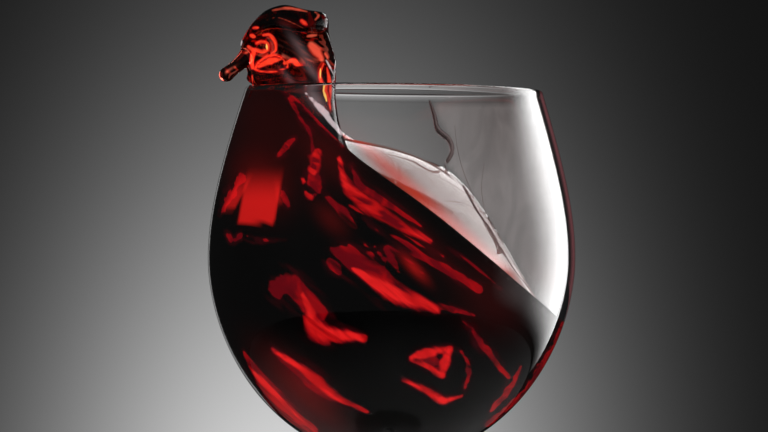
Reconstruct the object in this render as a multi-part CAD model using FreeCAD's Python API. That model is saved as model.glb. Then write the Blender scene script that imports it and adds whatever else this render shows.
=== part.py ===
"""A stemmed glass of red wine, the wine swung up one side of the bowl and over the rim.

Two pieces, each a solid of its own in parts/:
  glass  bowl, stem and foot, blown in one piece: one outline turned about the axis
  wine   the drink: it fills the bowl up to a slanting surface, climbs the wall towards -X, and stands
         above the rim there as a curled crest with a thrown finger and a bead at the end of its lip

Millimetres, +Z up. The origin is the centre of the foot's underside. Bearings run from +X towards +Y,
and the near side of the bowl is -Y.
"""

import FreeCAD
import Part

import math
import os

# ---- the glass -------------------------------------------------------------------------------------
GLASS_HEIGHT = 212.0  # table to rim
BELLY_RADIUS = 52.0  # outer radius where the bowl is widest
RIM_RADIUS = 42.2  # outer radius at the mouth
BELLY_TO_RIM = 47.8
BELLY_TO_BASE = 57.5  # from the widest ring down to the underside of the bowl
BOWL_FULLNESS = 1.88  # 2 makes the bowl under the belly an ellipse; less draws it in earlier
SHOULDER_SOFTNESS = 28.0  # height over which the wall turns in towards the mouth
WALL = 2.0  # at the belly
RIM_WALL = 1.7
BASE_THICKNESS = 3.4  # glass under the wine, on the axis
STEM_RADIUS = 4.1
STEM_FLARE_RADIUS = 13.0  # where the flare of the stem leaves the bowl
STEM_FLARE_DROP = 15.0  # how far under the bowl the flare has run out into the stem
FOOT_RADIUS = 38.0
FOOT_EDGE = 2.4  # thickness of the rounded edge of the foot
FOOT_RING = 7.0  # width of the flat ring that the glass stands on
FOOT_HOLLOW = 1.4  # depth of the dome inside that ring
FOOT_SWEEP_RADIUS = 13.0  # where the top of the foot starts to sweep up
FOOT_SWEEP_RISE = 3.4  # rise of the foot's top from its edge to that radius
FOOT_SWEEP_HEIGHT = 25.0  # height at which the sweep has run out into the stem

# ---- the wine in the bowl --------------------------------------------------------------------------
WINE_CLEARANCE = 0.1  # between the wine and the wall
SEAT_RADIUS = 4.0  # flat spot at the very bottom of the wine
LEVEL_UNDER_RIM = 25.3  # depth of the slanting surface at the middle of the near wall
SURFACE_TILT = math.radians(39.8)  # fall of the surface towards +X
SWELL_HEIGHT = 17.0  # how much higher the wine runs on the far wall
SWELL_BEARING = math.radians(66.0)
SWELL_SPREAD = math.radians(26.0)
SAG_DEPTH = 3.0  # how much lower it runs on the near wall
SAG_BEARING = math.radians(-104.0)
SAG_SPREAD = math.radians(21.0)
RIM_MARGIN = 1.6  # the wine's edge on the wall stops this far under the rim
EDGE_SOFTNESS = 1.6  # how gently the edge bends over into that highest level

# ---- the crest above the rim -----------------------------------------------------------------------
CREST_INSET = 1.6  # from the glass to the crest's left side, at the rim
CREST_WIDTH = 22.4  # along X, at the rim
CREST_WAIST = 12.0  # thickness along Y, at the rim
SHEET_THICKNESS = 6.2  # thickness of the sheet under the lip
LIP_THICKNESS = 7.4
CREST_LEAN = 4.4  # how far the crest's left side swings out over the rim
CREST_RISE = 11.2  # straight part of the crest, from the rim to where the lip curls
LIP_CURL_RADIUS = 7.0
LIP_CURL = math.radians(150.0)
LIP_SET_IN = 2.2  # how far the right side draws in on the way up to the lip
LIP_TAPER = 12.0  # length over which the lip narrows to its rounded end
LEFT_FALL = 0.34  # share of its height that the crest loses at its left edge
RIGHT_FALL = 0.04
FALL_POWER = 2.2  # how late across the crest that loss sets in
SECTION_FULLNESS = 0.85  # 1 makes a section of the crest an ellipse; less squares it off
CREST_FLOAT = 0.9  # height of the crest's first section above the rim
ROOT_SWEEP = 0.36  # share of a meridian over which the surface turns up into the crest

# ---- what the crest has thrown off -----------------------------------------------------------------
FINGER_REACH = 11.0  # from the crest's left side at the rim to the finger's end
FINGER_RADIUS = 2.2
FINGER_ROOT_RADIUS = 2.7
FINGER_ROOT_DEPTH = 3.6  # how far inside the crest the finger starts
FINGER_ROOT_HEIGHT = 9.4  # above the rim
FINGER_DROP = 6.2
FINGER_FORWARD = 1.6  # how far the end is nearer than the root
BEAD_RADIUS = 2.3
BEAD_LENGTH = 6.0

# ---- how finely the wine's skin is divided -----------------------------------------------------------
AROUND = 48
WALL_RINGS = 16
SURFACE_RINGS = 14
CREST_RINGS = 30
THROWN_RINGS = 14
OUTLINE_STATIONS = 10
DEGREE = 3
CAP_RADIUS = 0.5  # the small flat end of the crest and of what it throws
JOIN_TOLERANCE = 1e-4

# ---- worked out from the above ---------------------------------------------------------------------
BELLY_HEIGHT = GLASS_HEIGHT - BELLY_TO_RIM
BOWL_BASE = BELLY_HEIGHT - BELLY_TO_BASE
RIM_TOP = GLASS_HEIGHT - RIM_WALL / 2  # where the wall ends and the rounded rim begins
OUTER = (BELLY_RADIUS, RIM_RADIUS, BELLY_TO_BASE)
INNER = (BELLY_RADIUS - WALL, RIM_RADIUS - RIM_WALL, BELLY_TO_BASE - BASE_THICKNESS)
WINE = tuple(size - WINE_CLEARANCE for size in INNER)

Vector = FreeCAD.Vector


# ---- the bowl's curve, shared by the glass and the wine ----------------------------------------------
def bowl_radius(height, skin):
    """Radius of a skin of the bowl at a height over the table.

    Below the belly it is nearly a quarter ellipse; above, it falls away as a hyperbola that meets the rim.
    """
    belly, rim, depth = skin
    rise = height - BELLY_HEIGHT
    if rise < 0:
        return belly * math.sqrt(max(0.0, 1 - (-rise / depth) ** BOWL_FULLNESS))
    soft = SHOULDER_SOFTNESS
    full = math.hypot(RIM_TOP - BELLY_HEIGHT, soft) - soft
    return belly - (belly - rim) * (math.hypot(rise, soft) - soft) / full


def height_at(angle, depth):
    """Height of the skin at an angle from its lowest point: round the ellipse, then straight up."""
    if angle < math.pi / 2:
        return BELLY_HEIGHT - depth * math.cos(angle)
    return BELLY_HEIGHT + depth * (angle - math.pi / 2)


def angle_at(height, depth):
    """The other way round from height_at."""
    rise = height - BELLY_HEIGHT
    if rise < 0:
        return math.acos(min(1.0, -rise / depth))
    return math.pi / 2 + rise / depth


# ---- the glass -------------------------------------------------------------------------------------
def curve(points):
    """A smooth edge through points of the outline, given as (radius, height)."""
    spline = Part.BSplineCurve()
    spline.interpolate([Vector(r, 0, z) for r, z in points])
    return spline.toShape()


def bend(*poles):
    """A Bezier edge with these (radius, height) poles."""
    bezier = Part.BezierCurve()
    bezier.setPoles([Vector(r, 0, z) for r, z in poles])
    return bezier.toShape()


def line(a, b):
    return Part.LineSegment(Vector(a[0], 0, a[1]), Vector(b[0], 0, b[1])).toShape()


def arc(a, middle, b):
    return Part.Arc(*(Vector(r, 0, z) for r, z in (a, middle, b))).toShape()


def skin_points(skin, low_angle, high):
    """Stations along a skin of the bowl, from an angle off its lowest point to a height."""
    depth = skin[2]
    high_angle = angle_at(high, depth)
    steps = [i / OUTLINE_STATIONS for i in range(OUTLINE_STATIONS + 1)]
    heights = [height_at(low_angle + (high_angle - low_angle) * s, depth) for s in steps]
    return [(bowl_radius(z, skin), z) for z in heights]


def foot_outline():
    """Underside and edge of the foot, then its top sweeping up into the stem."""
    half_edge = FOOT_EDGE / 2
    dome_edge = FOOT_RADIUS - half_edge - FOOT_RING
    dome = arc((0, FOOT_HOLLOW), (dome_edge / 2, FOOT_HOLLOW * 0.75), (dome_edge, 0))
    ring_end = (FOOT_RADIUS - half_edge, 0)
    top_start = (FOOT_RADIUS - half_edge, FOOT_EDGE)
    sweep_start = (FOOT_SWEEP_RADIUS, FOOT_EDGE + FOOT_SWEEP_RISE)
    slope = FOOT_SWEEP_RISE / (FOOT_RADIUS - half_edge - FOOT_SWEEP_RADIUS)
    reach = (FOOT_SWEEP_RADIUS - STEM_RADIUS) * 0.75
    stem_foot = (STEM_RADIUS, FOOT_SWEEP_HEIGHT)
    return [
        dome,
        line((dome_edge, 0), ring_end),
        arc(ring_end, (FOOT_RADIUS, half_edge), top_start),
        line(top_start, sweep_start),
        bend(
            sweep_start,
            (sweep_start[0] - reach, sweep_start[1] + reach * slope),
            (STEM_RADIUS, sweep_start[1] + (FOOT_SWEEP_HEIGHT - sweep_start[1]) * 0.4),
            stem_foot,
        ),
    ]


def stem_outline(flare_top):
    """The stem and the flare that carries it into the bowl, up to flare_top on the bowl's outer skin."""
    belly, _, depth = OUTER
    stem_top = BOWL_BASE - STEM_FLARE_DROP
    drop = (BELLY_HEIGHT - flare_top[1]) / depth
    slope = 2 * flare_top[0] * depth / (belly**2 * BOWL_FULLNESS * drop ** (BOWL_FULLNESS - 1))
    reach = (flare_top[0] - STEM_RADIUS) * 0.7
    return [
        line((STEM_RADIUS, FOOT_SWEEP_HEIGHT), (STEM_RADIUS, stem_top)),
        bend(
            (STEM_RADIUS, stem_top),
            (STEM_RADIUS, stem_top + STEM_FLARE_DROP * 0.55),
            (flare_top[0] - reach, flare_top[1] - reach * slope),
            flare_top,
        ),
    ]


def make_glass():
    """The outline of half the glass, turned about the axis."""
    flare_angle = math.asin(STEM_FLARE_RADIUS / BELLY_RADIUS)
    outer = skin_points(OUTER, flare_angle, RIM_TOP)
    inner = skin_points(INNER, 0.0, RIM_TOP)
    inner[0] = (0.0, inner[0][1])
    rim_middle = ((outer[-1][0] + inner[-1][0]) / 2, GLASS_HEIGHT)
    edges = foot_outline() + stem_outline(outer[0])
    edges += [curve(outer), arc(outer[-1], rim_middle, inner[-1]), curve(inner[::-1])]
    edges.append(line(inner[0], (0, FOOT_HOLLOW)))
    half = Part.Face(Part.Wire(Part.__sortEdges__(edges)))
    return half.revolve(Vector(0, 0, 0), Vector(0, 0, 1), 360)


# ---- skins laid out as rings of points ---------------------------------------------------------------
def skin_face(rings):
    """A smooth face over closed rings of points: round in one direction, clamped in the other."""
    spans = len(rings) - DEGREE
    surface = Part.BSplineSurface()
    surface.buildFromPolesMultsKnots(
        rings,
        [DEGREE + 1] + [1] * (spans - 1) + [DEGREE + 1],
        [1] * (len(rings[0]) + 1),
        list(range(spans + 1)),
        list(range(len(rings[0]) + 1)),
        False,
        True,
        DEGREE,
        DEGREE,
    )
    return surface.toShape()


def end_face(side, end):
    """The flat face that closes a skin at its first (0) or last (1) ring."""
    surface = side.Surface
    first, last = surface.bounds()[:2]
    return Part.Face(Part.Wire(surface.uIso(last if end else first).toShape()))


def solid_of(faces):
    """A solid from faces that meet edge to edge, its skin facing outwards."""
    skin = Part.makeCompound(faces)
    skin.sewShape(JOIN_TOLERANCE)
    body = Part.Solid(skin.Shells[0])
    if body.Volume < 0:
        body.reverse()
    return body


def bearings():
    return [2 * math.pi * i / AROUND for i in range(AROUND)]


def lowest_of(a, b, softness):
    """The lower of two heights, with the corner between them rounded off."""
    low = min(a, b)
    return low - softness * math.log(math.exp((low - a) / softness) + math.exp((low - b) / softness))


def turn_from(bearing, other):
    """Smallest turn from one bearing to another."""
    return (bearing - other + math.pi) % (2 * math.pi) - math.pi


# ---- the wine in the bowl ----------------------------------------------------------------------------
def edge_height(bearing):
    """Height at which the wine's surface meets the wall: a tilted plane, swollen on the far wall and
    sagging on the near one, that stops under the rim."""
    swell = SWELL_HEIGHT * math.exp(-((turn_from(bearing, SWELL_BEARING) / SWELL_SPREAD) ** 2))
    sag = SAG_DEPTH * math.exp(-((turn_from(bearing, SAG_BEARING) / SAG_SPREAD) ** 2))
    highest = GLASS_HEIGHT - RIM_MARGIN
    height = BELLY_HEIGHT
    for _ in range(20):  # the radius depends on the height: a few rounds settle it
        x = bowl_radius(height, WINE) * math.cos(bearing)
        plane = GLASS_HEIGHT - LEVEL_UNDER_RIM - math.tan(SURFACE_TILT) * x + swell - sag
        height = (height + lowest_of(plane, highest, EDGE_SOFTNESS)) / 2
    return height


def on_wall(bearing, height):
    radius = bowl_radius(height, WINE)
    return Vector(radius * math.cos(bearing), radius * math.sin(bearing), height)


def wall_rings():
    """Rings up the wall, from the flat seat to the edge of the wine's surface."""
    depth = WINE[2]
    seat_angle = math.asin(SEAT_RADIUS / WINE[0])
    rings = []
    for i in range(WALL_RINGS + 1):
        share = i / WALL_RINGS
        ring = []
        for bearing in bearings():
            top_angle = angle_at(edge_height(bearing), depth)
            ring.append(on_wall(bearing, height_at(seat_angle + (top_angle - seat_angle) * share, depth)))
        rings.append(ring)
    return rings


def surface_rings(edge, crest_foot):
    """Rings over the wine's surface, from its edge to the foot of the crest.

    Each bearing has a Bezier meridian: it leaves the wall along the tilt of the surface and arrives
    straight up, so that the surface turns into the crest without a corner.
    """
    rings = []
    for i in range(1, SURFACE_RINGS):
        s = i / SURFACE_RINGS
        ring = []
        for start, end in zip(edge, crest_foot):
            span = (end - start).Length
            inward = Vector(end.x - start.x, end.y - start.y, 0)
            fall = -math.tan(SURFACE_TILT) * inward.x
            leave = start + Vector(inward.x, inward.y, min(fall, end.z - start.z)) * 0.5
            arrive = end - Vector(0, 0, span * ROOT_SWEEP)
            ring.append(
                start * (1 - s) ** 3
                + leave * (3 * s * (1 - s) ** 2)
                + arrive * (3 * s * s * (1 - s))
                + end * s**3
            )
        rings.append(ring)
    return rings


# ---- the crest ---------------------------------------------------------------------------------------
CREST_LENGTH = CREST_RISE + LIP_CURL_RADIUS * LIP_CURL
CREST_LEFT = CREST_INSET - (RIM_RADIUS - RIM_WALL)  # X of the crest's left side at the rim
CREST_BASE = GLASS_HEIGHT + CREST_FLOAT


def blend(a, b, share):
    share = max(0.0, min(1.0, share))
    return a + (b - a) * share * share * (3 - 2 * share)


def crest_line(length):
    """A point (y, z) of the crest's middle line and its turn forward: straight up, then curling to -Y."""
    turn = max(0.0, length - CREST_RISE) / LIP_CURL_RADIUS
    y = -LIP_CURL_RADIUS * (1 - math.cos(turn))
    z = CREST_BASE + min(length, CREST_RISE) + LIP_CURL_RADIUS * math.sin(turn)
    return y, z, turn


def crest_sides(length):
    """X of the crest's two sides: the left one swings out over the rim, the right one draws in."""
    left = CREST_LEFT - CREST_LEAN * math.sin(math.pi * min(1.0, length / CREST_LENGTH))
    right = CREST_LEFT + CREST_WIDTH - blend(0.0, LIP_SET_IN, length / CREST_RISE - 0.5)
    return left, right


def crest_thickness(length, to_end):
    """Thickness of the crest: its waist at the rim, then the sheet, then the fuller lip, rounded off."""
    waist = blend(CREST_WAIST, SHEET_THICKNESS, length / (CREST_RISE * 0.7))
    thickness = blend(waist, LIP_THICKNESS, (length - CREST_RISE * 0.6) / (CREST_LENGTH * 0.4))
    return thickness * math.sqrt(max(0.0, 1 - to_end**6))


def squared(value):
    """A cosine or sine pushed towards 1 or -1, which makes a section fuller than an ellipse."""
    return math.copysign(abs(value) ** SECTION_FULLNESS, value)


def crest_ring(length):
    """One section of the crest, across its middle line."""
    y, z, turn = crest_line(length)
    to_end = max(0.0, (length - (CREST_LENGTH - LIP_TAPER)) / LIP_TAPER)
    narrow = math.sqrt(max(0.0, 1 - to_end**2))
    left, right = crest_sides(length)
    middle, half = (left + right) / 2, (right - left) / 2
    half_thickness = crest_thickness(length, to_end) / 2
    ring = []
    for around in bearings():
        c, s = math.cos(around), math.sin(around)
        across = math.copysign(max(abs(half * narrow * squared(c)), abs(CAP_RADIUS * c)), c)
        deep = math.copysign(max(abs(half_thickness * squared(s)), abs(CAP_RADIUS * s)), s)
        fall = (LEFT_FALL if across < 0 else RIGHT_FALL) * abs(across / half) ** FALL_POWER
        up = z + deep * math.sin(turn) - CREST_BASE
        ring.append(Vector(middle + across, y + deep * math.cos(turn), CREST_BASE + up * (1 - fall)))
    return ring


def cap_ring(centre, turn):
    """The small flat ring at the end of the lip."""
    return [
        Vector(
            centre.x + CAP_RADIUS * math.cos(a),
            centre.y + CAP_RADIUS * math.sin(a) * math.cos(turn),
            centre.z + CAP_RADIUS * math.sin(a) * math.sin(turn),
        )
        for a in bearings()
    ]


def crest_rings():
    """Sections along the crest, closer together towards the end of the lip, and the flat ring there."""
    rings = []
    for i in range(CREST_RINGS):
        share = math.sin(math.pi / 2 * i / CREST_RINGS)
        rings.append(crest_ring(CREST_LENGTH * share))
    y, z, turn = crest_line(CREST_LENGTH)
    rings.append(cap_ring(Vector(sum(crest_sides(CREST_LENGTH)) / 2, y, z), turn))
    return rings


# ---- the finger and the bead -------------------------------------------------------------------------
def thrown_piece(poles, radii):
    """A round arm along a Bezier line in a plane of constant Y, its radius running through radii."""
    path = Part.BezierCurve()
    path.setPoles(poles)
    rings = []
    for i in range(THROWN_RINGS + 1):
        share = i / THROWN_RINGS
        centre, along = path.value(share), path.tangent(share)[0]
        side = along.cross(Vector(0, 1, 0)).normalize()
        place = share * (len(radii) - 1)
        k = min(int(place), len(radii) - 2)
        radius = blend(radii[k], radii[k + 1], place - k)
        if share > 0.75:
            radius *= math.sqrt(max(0.0, 1 - ((share - 0.75) / 0.25) ** 2))
        radius = max(radius, CAP_RADIUS)
        rings.append(
            [centre + side * (radius * math.cos(a)) + Vector(0, radius * math.sin(a), 0) for a in bearings()]
        )
    side = skin_face(rings)
    return solid_of([side, end_face(side, 0), end_face(side, 1)])


def make_finger():
    """The finger thrown out over the rim on the left, its end rounded."""
    root = Vector(CREST_LEFT + FINGER_ROOT_DEPTH, 0.0, GLASS_HEIGHT + FINGER_ROOT_HEIGHT)
    tip = Vector(CREST_LEFT - FINGER_REACH, -FINGER_FORWARD, root.z - FINGER_DROP)
    knee = Vector(CREST_LEFT - FINGER_REACH * 0.5, -FINGER_FORWARD * 0.6, root.z - FINGER_DROP * 0.6)
    return thrown_piece([root, knee, tip], [FINGER_ROOT_RADIUS, FINGER_RADIUS * 0.9, FINGER_RADIUS])


def make_bead():
    """The bead at the right end of the lip."""
    crown = CREST_RISE + LIP_CURL_RADIUS * math.pi / 2
    y, z, _ = crest_line(crown)
    right = crest_sides(crown)[1]
    root = Vector(right - BEAD_LENGTH, y, z)
    tip = Vector(right + BEAD_RADIUS * 0.4, y - 0.5, z + BEAD_RADIUS * 0.35)
    return thrown_piece([root, (root + tip) * 0.5, tip], [BEAD_RADIUS, BEAD_RADIUS * 0.9, BEAD_RADIUS])


def make_wine():
    """Wall side, surface and crest as one closed skin, with the finger and the bead grown onto it."""
    wall = wall_rings()
    crest = crest_rings()
    side = skin_face(wall)
    top = skin_face([wall[-1]] + surface_rings(wall[-1], crest[0]) + crest)
    body = solid_of([end_face(side, 0), side, top, end_face(top, 1)])
    return body.fuse([make_finger(), make_bead()]).Solids[0]


def main():
    os.makedirs("parts", exist_ok=True)
    for name, solid in (("glass", make_glass()), ("wine", make_wine())):
        print(name, solid.ShapeType, "valid", solid.isValid(), "ml", round(solid.Volume / 1000, 1))
        solid.exportStep(f"parts/{name}.step")


main()
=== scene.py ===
"""Looks of a stemmed glass of red wine, the wine swung up one side of the bowl and over the rim.

Sizes are in millimetres, as in the part, and become metres where a mesh is made. Bearings run from +X
towards +Y, the near side is -Y, and heights are over the table unless a name says otherwise.
"""

import math

import bpy
import numpy as np
from mathutils import Matrix, Vector


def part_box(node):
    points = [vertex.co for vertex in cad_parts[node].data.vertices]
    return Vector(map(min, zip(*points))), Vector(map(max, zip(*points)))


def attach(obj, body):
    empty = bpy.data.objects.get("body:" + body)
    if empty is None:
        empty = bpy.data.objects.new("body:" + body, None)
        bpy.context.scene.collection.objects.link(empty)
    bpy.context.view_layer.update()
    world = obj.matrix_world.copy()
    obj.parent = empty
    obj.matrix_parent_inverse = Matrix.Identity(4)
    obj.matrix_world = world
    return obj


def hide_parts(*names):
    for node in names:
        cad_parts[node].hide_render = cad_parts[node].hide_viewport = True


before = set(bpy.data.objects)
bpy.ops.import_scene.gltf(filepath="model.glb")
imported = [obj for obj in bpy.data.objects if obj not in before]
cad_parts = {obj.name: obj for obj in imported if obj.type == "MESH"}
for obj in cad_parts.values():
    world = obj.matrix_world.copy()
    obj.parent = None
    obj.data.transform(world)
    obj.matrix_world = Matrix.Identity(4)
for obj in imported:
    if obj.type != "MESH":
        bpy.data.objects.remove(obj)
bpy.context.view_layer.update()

MM = 0.001

# ---- the glass, from the frame and its named sizes ---------------------------------------------------
GLASS_LOW, GLASS_HIGH = (np.array(corner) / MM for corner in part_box("glass"))
RIM_HEIGHT = GLASS_HIGH[2]
BELLY_RADIUS = (GLASS_HIGH[0] - GLASS_LOW[0]) / 2
RIM_RADIUS = 42.2
BELLY_HEIGHT = RIM_HEIGHT - 47.8
BELLY_TO_BASE = 57.5
BOWL_FULLNESS = 1.88
SHOULDER_SOFTNESS = 28.0
WALL = 2.0
RIM_WALL = 1.7
BASE_THICKNESS = 3.4
RIM_TOP = RIM_HEIGHT - RIM_WALL / 2
OUTER = (BELLY_RADIUS, RIM_RADIUS, BELLY_TO_BASE)
INNER = (BELLY_RADIUS - WALL, RIM_RADIUS - RIM_WALL, BELLY_TO_BASE - BASE_THICKNESS)
WALL_REACH = 0.25  # how far the wine reaches into the wall, so that no air shows between them
WINE = tuple(size + WALL_REACH for size in INNER)


def bowl_radius(height, skin):
    """Radius of a skin of the bowl: under the belly b*sqrt(1-(drop/depth)^fullness); above it, the belly
    less a hyperbola that reaches the rim's radius at the top of the wall."""
    belly, rim, depth = skin
    rise = height - BELLY_HEIGHT
    drop = np.clip(-rise / depth, 0, 1)
    full = math.hypot(RIM_TOP - BELLY_HEIGHT, SHOULDER_SOFTNESS) - SHOULDER_SOFTNESS
    above = belly - (belly - rim) * (np.hypot(rise, SHOULDER_SOFTNESS) - SHOULDER_SOFTNESS) / full
    return np.where(rise < 0, belly * np.sqrt(1 - drop**BOWL_FULLNESS), above)


def height_at(angle, depth):
    """Height of a skin at an angle off its lowest point: -depth*cos(angle) from the belly up to a quarter
    turn, then straight up by depth*(angle - quarter)."""
    quarter = math.pi / 2
    return BELLY_HEIGHT + np.where(angle < quarter, -depth * np.cos(angle), depth * (angle - quarter))


def angle_at(height, depth):
    """Angle off a skin's lowest point at a height: height_at the other way round."""
    rise = height - BELLY_HEIGHT
    return np.where(rise < 0, np.arccos(np.clip(-rise / depth, -1, 1)), math.pi / 2 + rise / depth)


# ---- meshes from grids -------------------------------------------------------------------------------
def mesh_object(name, points, faces, fields=None, slots=None):
    """A smooth-shaded object at the origin from points in millimetres. The faces are all corners' point
    numbers in one row and each face's number of corners; a field has a float per point, and the slots name
    a material per face."""
    corners, sizes = faces
    mesh = bpy.data.meshes.new(name)
    mesh.vertices.add(len(points))
    mesh.vertices.foreach_set("co", np.ascontiguousarray(points * MM, dtype=np.float32).ravel())
    mesh.loops.add(len(corners))
    mesh.loops.foreach_set("vertex_index", corners.astype(np.int32))
    mesh.polygons.add(len(sizes))
    mesh.polygons.foreach_set("loop_start", (np.cumsum(sizes) - sizes).astype(np.int32))
    mesh.polygons.foreach_set("use_smooth", np.ones(len(sizes), dtype=bool))
    for field, values in (fields or {}).items():
        layer = mesh.attributes.new(field, "FLOAT", "POINT")
        layer.data.foreach_set("value", values.astype(np.float32))
    if slots is not None:
        mesh.polygons.foreach_set("material_index", slots.astype(np.int32))
    mesh.update(calc_edges=True)
    mesh.validate()
    piece = bpy.data.objects.new(name, mesh)
    bpy.context.scene.collection.objects.link(piece)
    return piece


def closed_skin(rings):
    """Points and faces of rings (ring, column, xyz) that run anticlockwise seen from the last one: quads
    between neighbouring rings, and at both ends a fan to the ring's middle."""
    count, around = rings.shape[:2]
    points = np.concatenate([rings.reshape(-1, 3), rings[:1].mean(axis=1), rings[-1:].mean(axis=1)])
    here = np.arange(around)
    after = (here + 1) % around
    row = np.arange(count - 1)[:, None] * around
    above = row + around
    quads = np.stack([row + here, row + after, above + after, above + here], axis=-1)
    last_row, first_middle, last_middle = (count - 1) * around, count * around, count * around + 1
    low_fan = np.stack([after, here, np.full(around, first_middle)], axis=-1)
    high_fan = np.stack([last_row + here, last_row + after, np.full(around, last_middle)], axis=-1)
    corners = np.concatenate([quads.ravel(), low_fan.ravel(), high_fan.ravel()])
    return points, (corners, np.repeat([4, 3], [(count - 1) * around, 2 * around]))


def joined_skins(skins):
    """Several skins as one: each one's point numbers go on after the points before it."""
    starts = np.cumsum([0] + [len(points) for points, _ in skins[:-1]])
    points = np.concatenate([points for points, _ in skins])
    corners = np.concatenate([faces[0] + start for (_, faces), start in zip(skins, starts)])
    return points, (corners, np.concatenate([faces[1] for _, faces in skins]))


def smooth_step(low, high, value):
    """0 under low, 1 over high, and 3t^2-2t^3 between them."""
    t = np.clip((value - low) / (high - low), 0, 1)
    return t * t * (3 - 2 * t)


def once_round(count):
    """Angles once round from 0, evenly spaced."""
    return np.linspace(0, 2 * math.pi, count, endpoint=False)


def bezier(points, t):
    """A Bezier curve through its poles' polygon, by de Casteljau's repeated mixing."""
    t = np.asarray(t, dtype=float)[..., None]
    layer = [np.asarray(p, dtype=float) for p in points]
    while len(layer) > 1:
        layer = [a * (1 - t) + b * t for a, b in zip(layer, layer[1:])]
    return layer[0]


# ---- the glass ---------------------------------------------------------------------------------------
STEM_RADIUS = 4.1
STEM_FLARE_RADIUS = 13.0
STEM_FLARE_DROP = 15.0
FOOT_RADIUS = 38.0
FOOT_EDGE = 2.4
FOOT_RING = 7.0
FOOT_HOLLOW = 1.4
FOOT_SWEEP_RADIUS = 13.0
FOOT_SWEEP_RISE = 3.4
FOOT_SWEEP_HEIGHT = 25.0
FOOT_SWEEP_PULL = (0.75, 0.4)  # how far the sweep's two poles go, inwards and up, as shares of its span
NECK_PULL = (0.7, 0.55)  # the same for the flare under the bowl
GLASS_AROUND = 256
FILM_GLOW_LEVEL = 0.07  # level of the painted glow that stands in for light scattered by the film of wine left on the far wall
FILM_GLOW_RUNS = 0.05
FILM_EDGE = [(1.6, 10.8), (7, 12.5), (13, 16.0), (16.5, 16.6), (20.5, 15.6), (25.5, 19), (31, 23), (45, 31)]


def skin_outline(skin, angles):
    """Radius and height of a skin of the bowl at angles off its lowest point."""
    heights = height_at(angles, skin[2])
    return np.stack([bowl_radius(heights, skin), heights], axis=1)


def foot_outline():
    """From the middle of the underside over a dome h*(1-(r/edge)^2), round the edge, and up a Bezier sweep
    to the stem."""
    half_edge = FOOT_EDGE / 2
    ring_out = FOOT_RADIUS - half_edge
    dome_edge = ring_out - FOOT_RING
    r = np.linspace(0, dome_edge, 14)
    dome = np.stack([r, FOOT_HOLLOW * (1 - (r / dome_edge) ** 2)], axis=1)
    turn = np.linspace(-math.pi / 2, math.pi / 2, 11)
    edge = np.stack([ring_out + half_edge * np.cos(turn), half_edge + half_edge * np.sin(turn)], axis=1)
    start = np.array([FOOT_SWEEP_RADIUS, FOOT_EDGE + FOOT_SWEEP_RISE])
    slope = FOOT_SWEEP_RISE / (ring_out - FOOT_SWEEP_RADIUS)
    reach = (FOOT_SWEEP_RADIUS - STEM_RADIUS) * FOOT_SWEEP_PULL[0]
    lift = (FOOT_SWEEP_HEIGHT - start[1]) * FOOT_SWEEP_PULL[1]
    poles = [start, start + [-reach, reach * slope], (STEM_RADIUS, start[1] + lift)]
    sweep = bezier([*poles, (STEM_RADIUS, FOOT_SWEEP_HEIGHT)], np.linspace(0, 1, 20))
    return np.concatenate([dome[1:], edge[1:], sweep])


def glass_outline():
    """Radius and height of the foot, a Bezier flare from the stem that meets the bowl along its slope, the
    outer skin, half a circle over the rim and the inner skin down to the axis."""
    belly, _, depth = OUTER
    flare_drop = (1 - (STEM_FLARE_RADIUS / belly) ** 2) ** (1 / BOWL_FULLNESS)
    flare = np.array([STEM_FLARE_RADIUS, BELLY_HEIGHT - depth * flare_drop])
    slope = 2 * flare[0] * depth / (belly**2 * BOWL_FULLNESS * flare_drop ** (BOWL_FULLNESS - 1))
    reach = (flare[0] - STEM_RADIUS) * NECK_PULL[0]
    stem_top = BELLY_HEIGHT - depth - STEM_FLARE_DROP
    poles = [(STEM_RADIUS, stem_top), (STEM_RADIUS, stem_top + STEM_FLARE_DROP * NECK_PULL[1])]
    neck = bezier([*poles, flare - [reach, reach * slope], flare], np.linspace(0, 1, 16))
    outer = skin_outline(OUTER, np.linspace(angle_at(flare[1], depth), angle_at(RIM_TOP, depth), 70))
    inner = skin_outline(INNER, np.linspace(angle_at(RIM_TOP, INNER[2]), 0, 80))
    turn = np.linspace(0, math.pi, 13)[1:-1]
    half_rim = RIM_WALL / 2
    over = np.stack([np.cos(turn) - 1, np.sin(turn)], axis=1) * half_rim
    rim = [RIM_RADIUS, RIM_TOP] + over
    return np.concatenate([foot_outline(), neck, outer[1:], rim, inner[:-1]])


def glass_slots(points, faces):
    """Slot 0 for the outside, 1 for the inner skin under the wine's edge, 2 for the inner skin above it."""
    corners, sizes = faces
    middles = np.add.reduceat(points[corners], np.cumsum(sizes) - sizes, axis=0) / sizes[:, None]
    x, y, z = middles.T
    inside = (z > BELLY_HEIGHT - INNER[2] - 0.5) & (np.hypot(x, y) < bowl_radius(z, INNER) + 0.3)
    under = z < edge_height(np.arctan2(y, x)) - 0.4
    return np.where(inside, np.where(under, 1, 2), 0)


def make_glass():
    """The outline turned about the axis, (r*cos, r*sin, h), with the share of wine film at each point."""
    outline = glass_outline()
    around = once_round(GLASS_AROUND)
    radius, height = outline[:, :1], np.repeat(outline[:, 1:], GLASS_AROUND, axis=1)
    points, faces = closed_skin(np.stack([radius * np.cos(around), radius * np.sin(around), height], axis=-1))
    points[-2, 2] = FOOT_HOLLOW
    points[-1, 2] = BELLY_HEIGHT - INNER[2]
    under_rim = RIM_HEIGHT - points[:, 2]
    past_edge = points[:, 0] - np.interp(under_rim, *np.array(FILM_EDGE).T)
    film = smooth_step(1.5, 4, under_rim) * smooth_step(0, 2.5, past_edge) * smooth_step(0, 8, points[:, 1])
    return mesh_object("glass_clear", points, faces, {"film": film}, glass_slots(points, faces))


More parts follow.
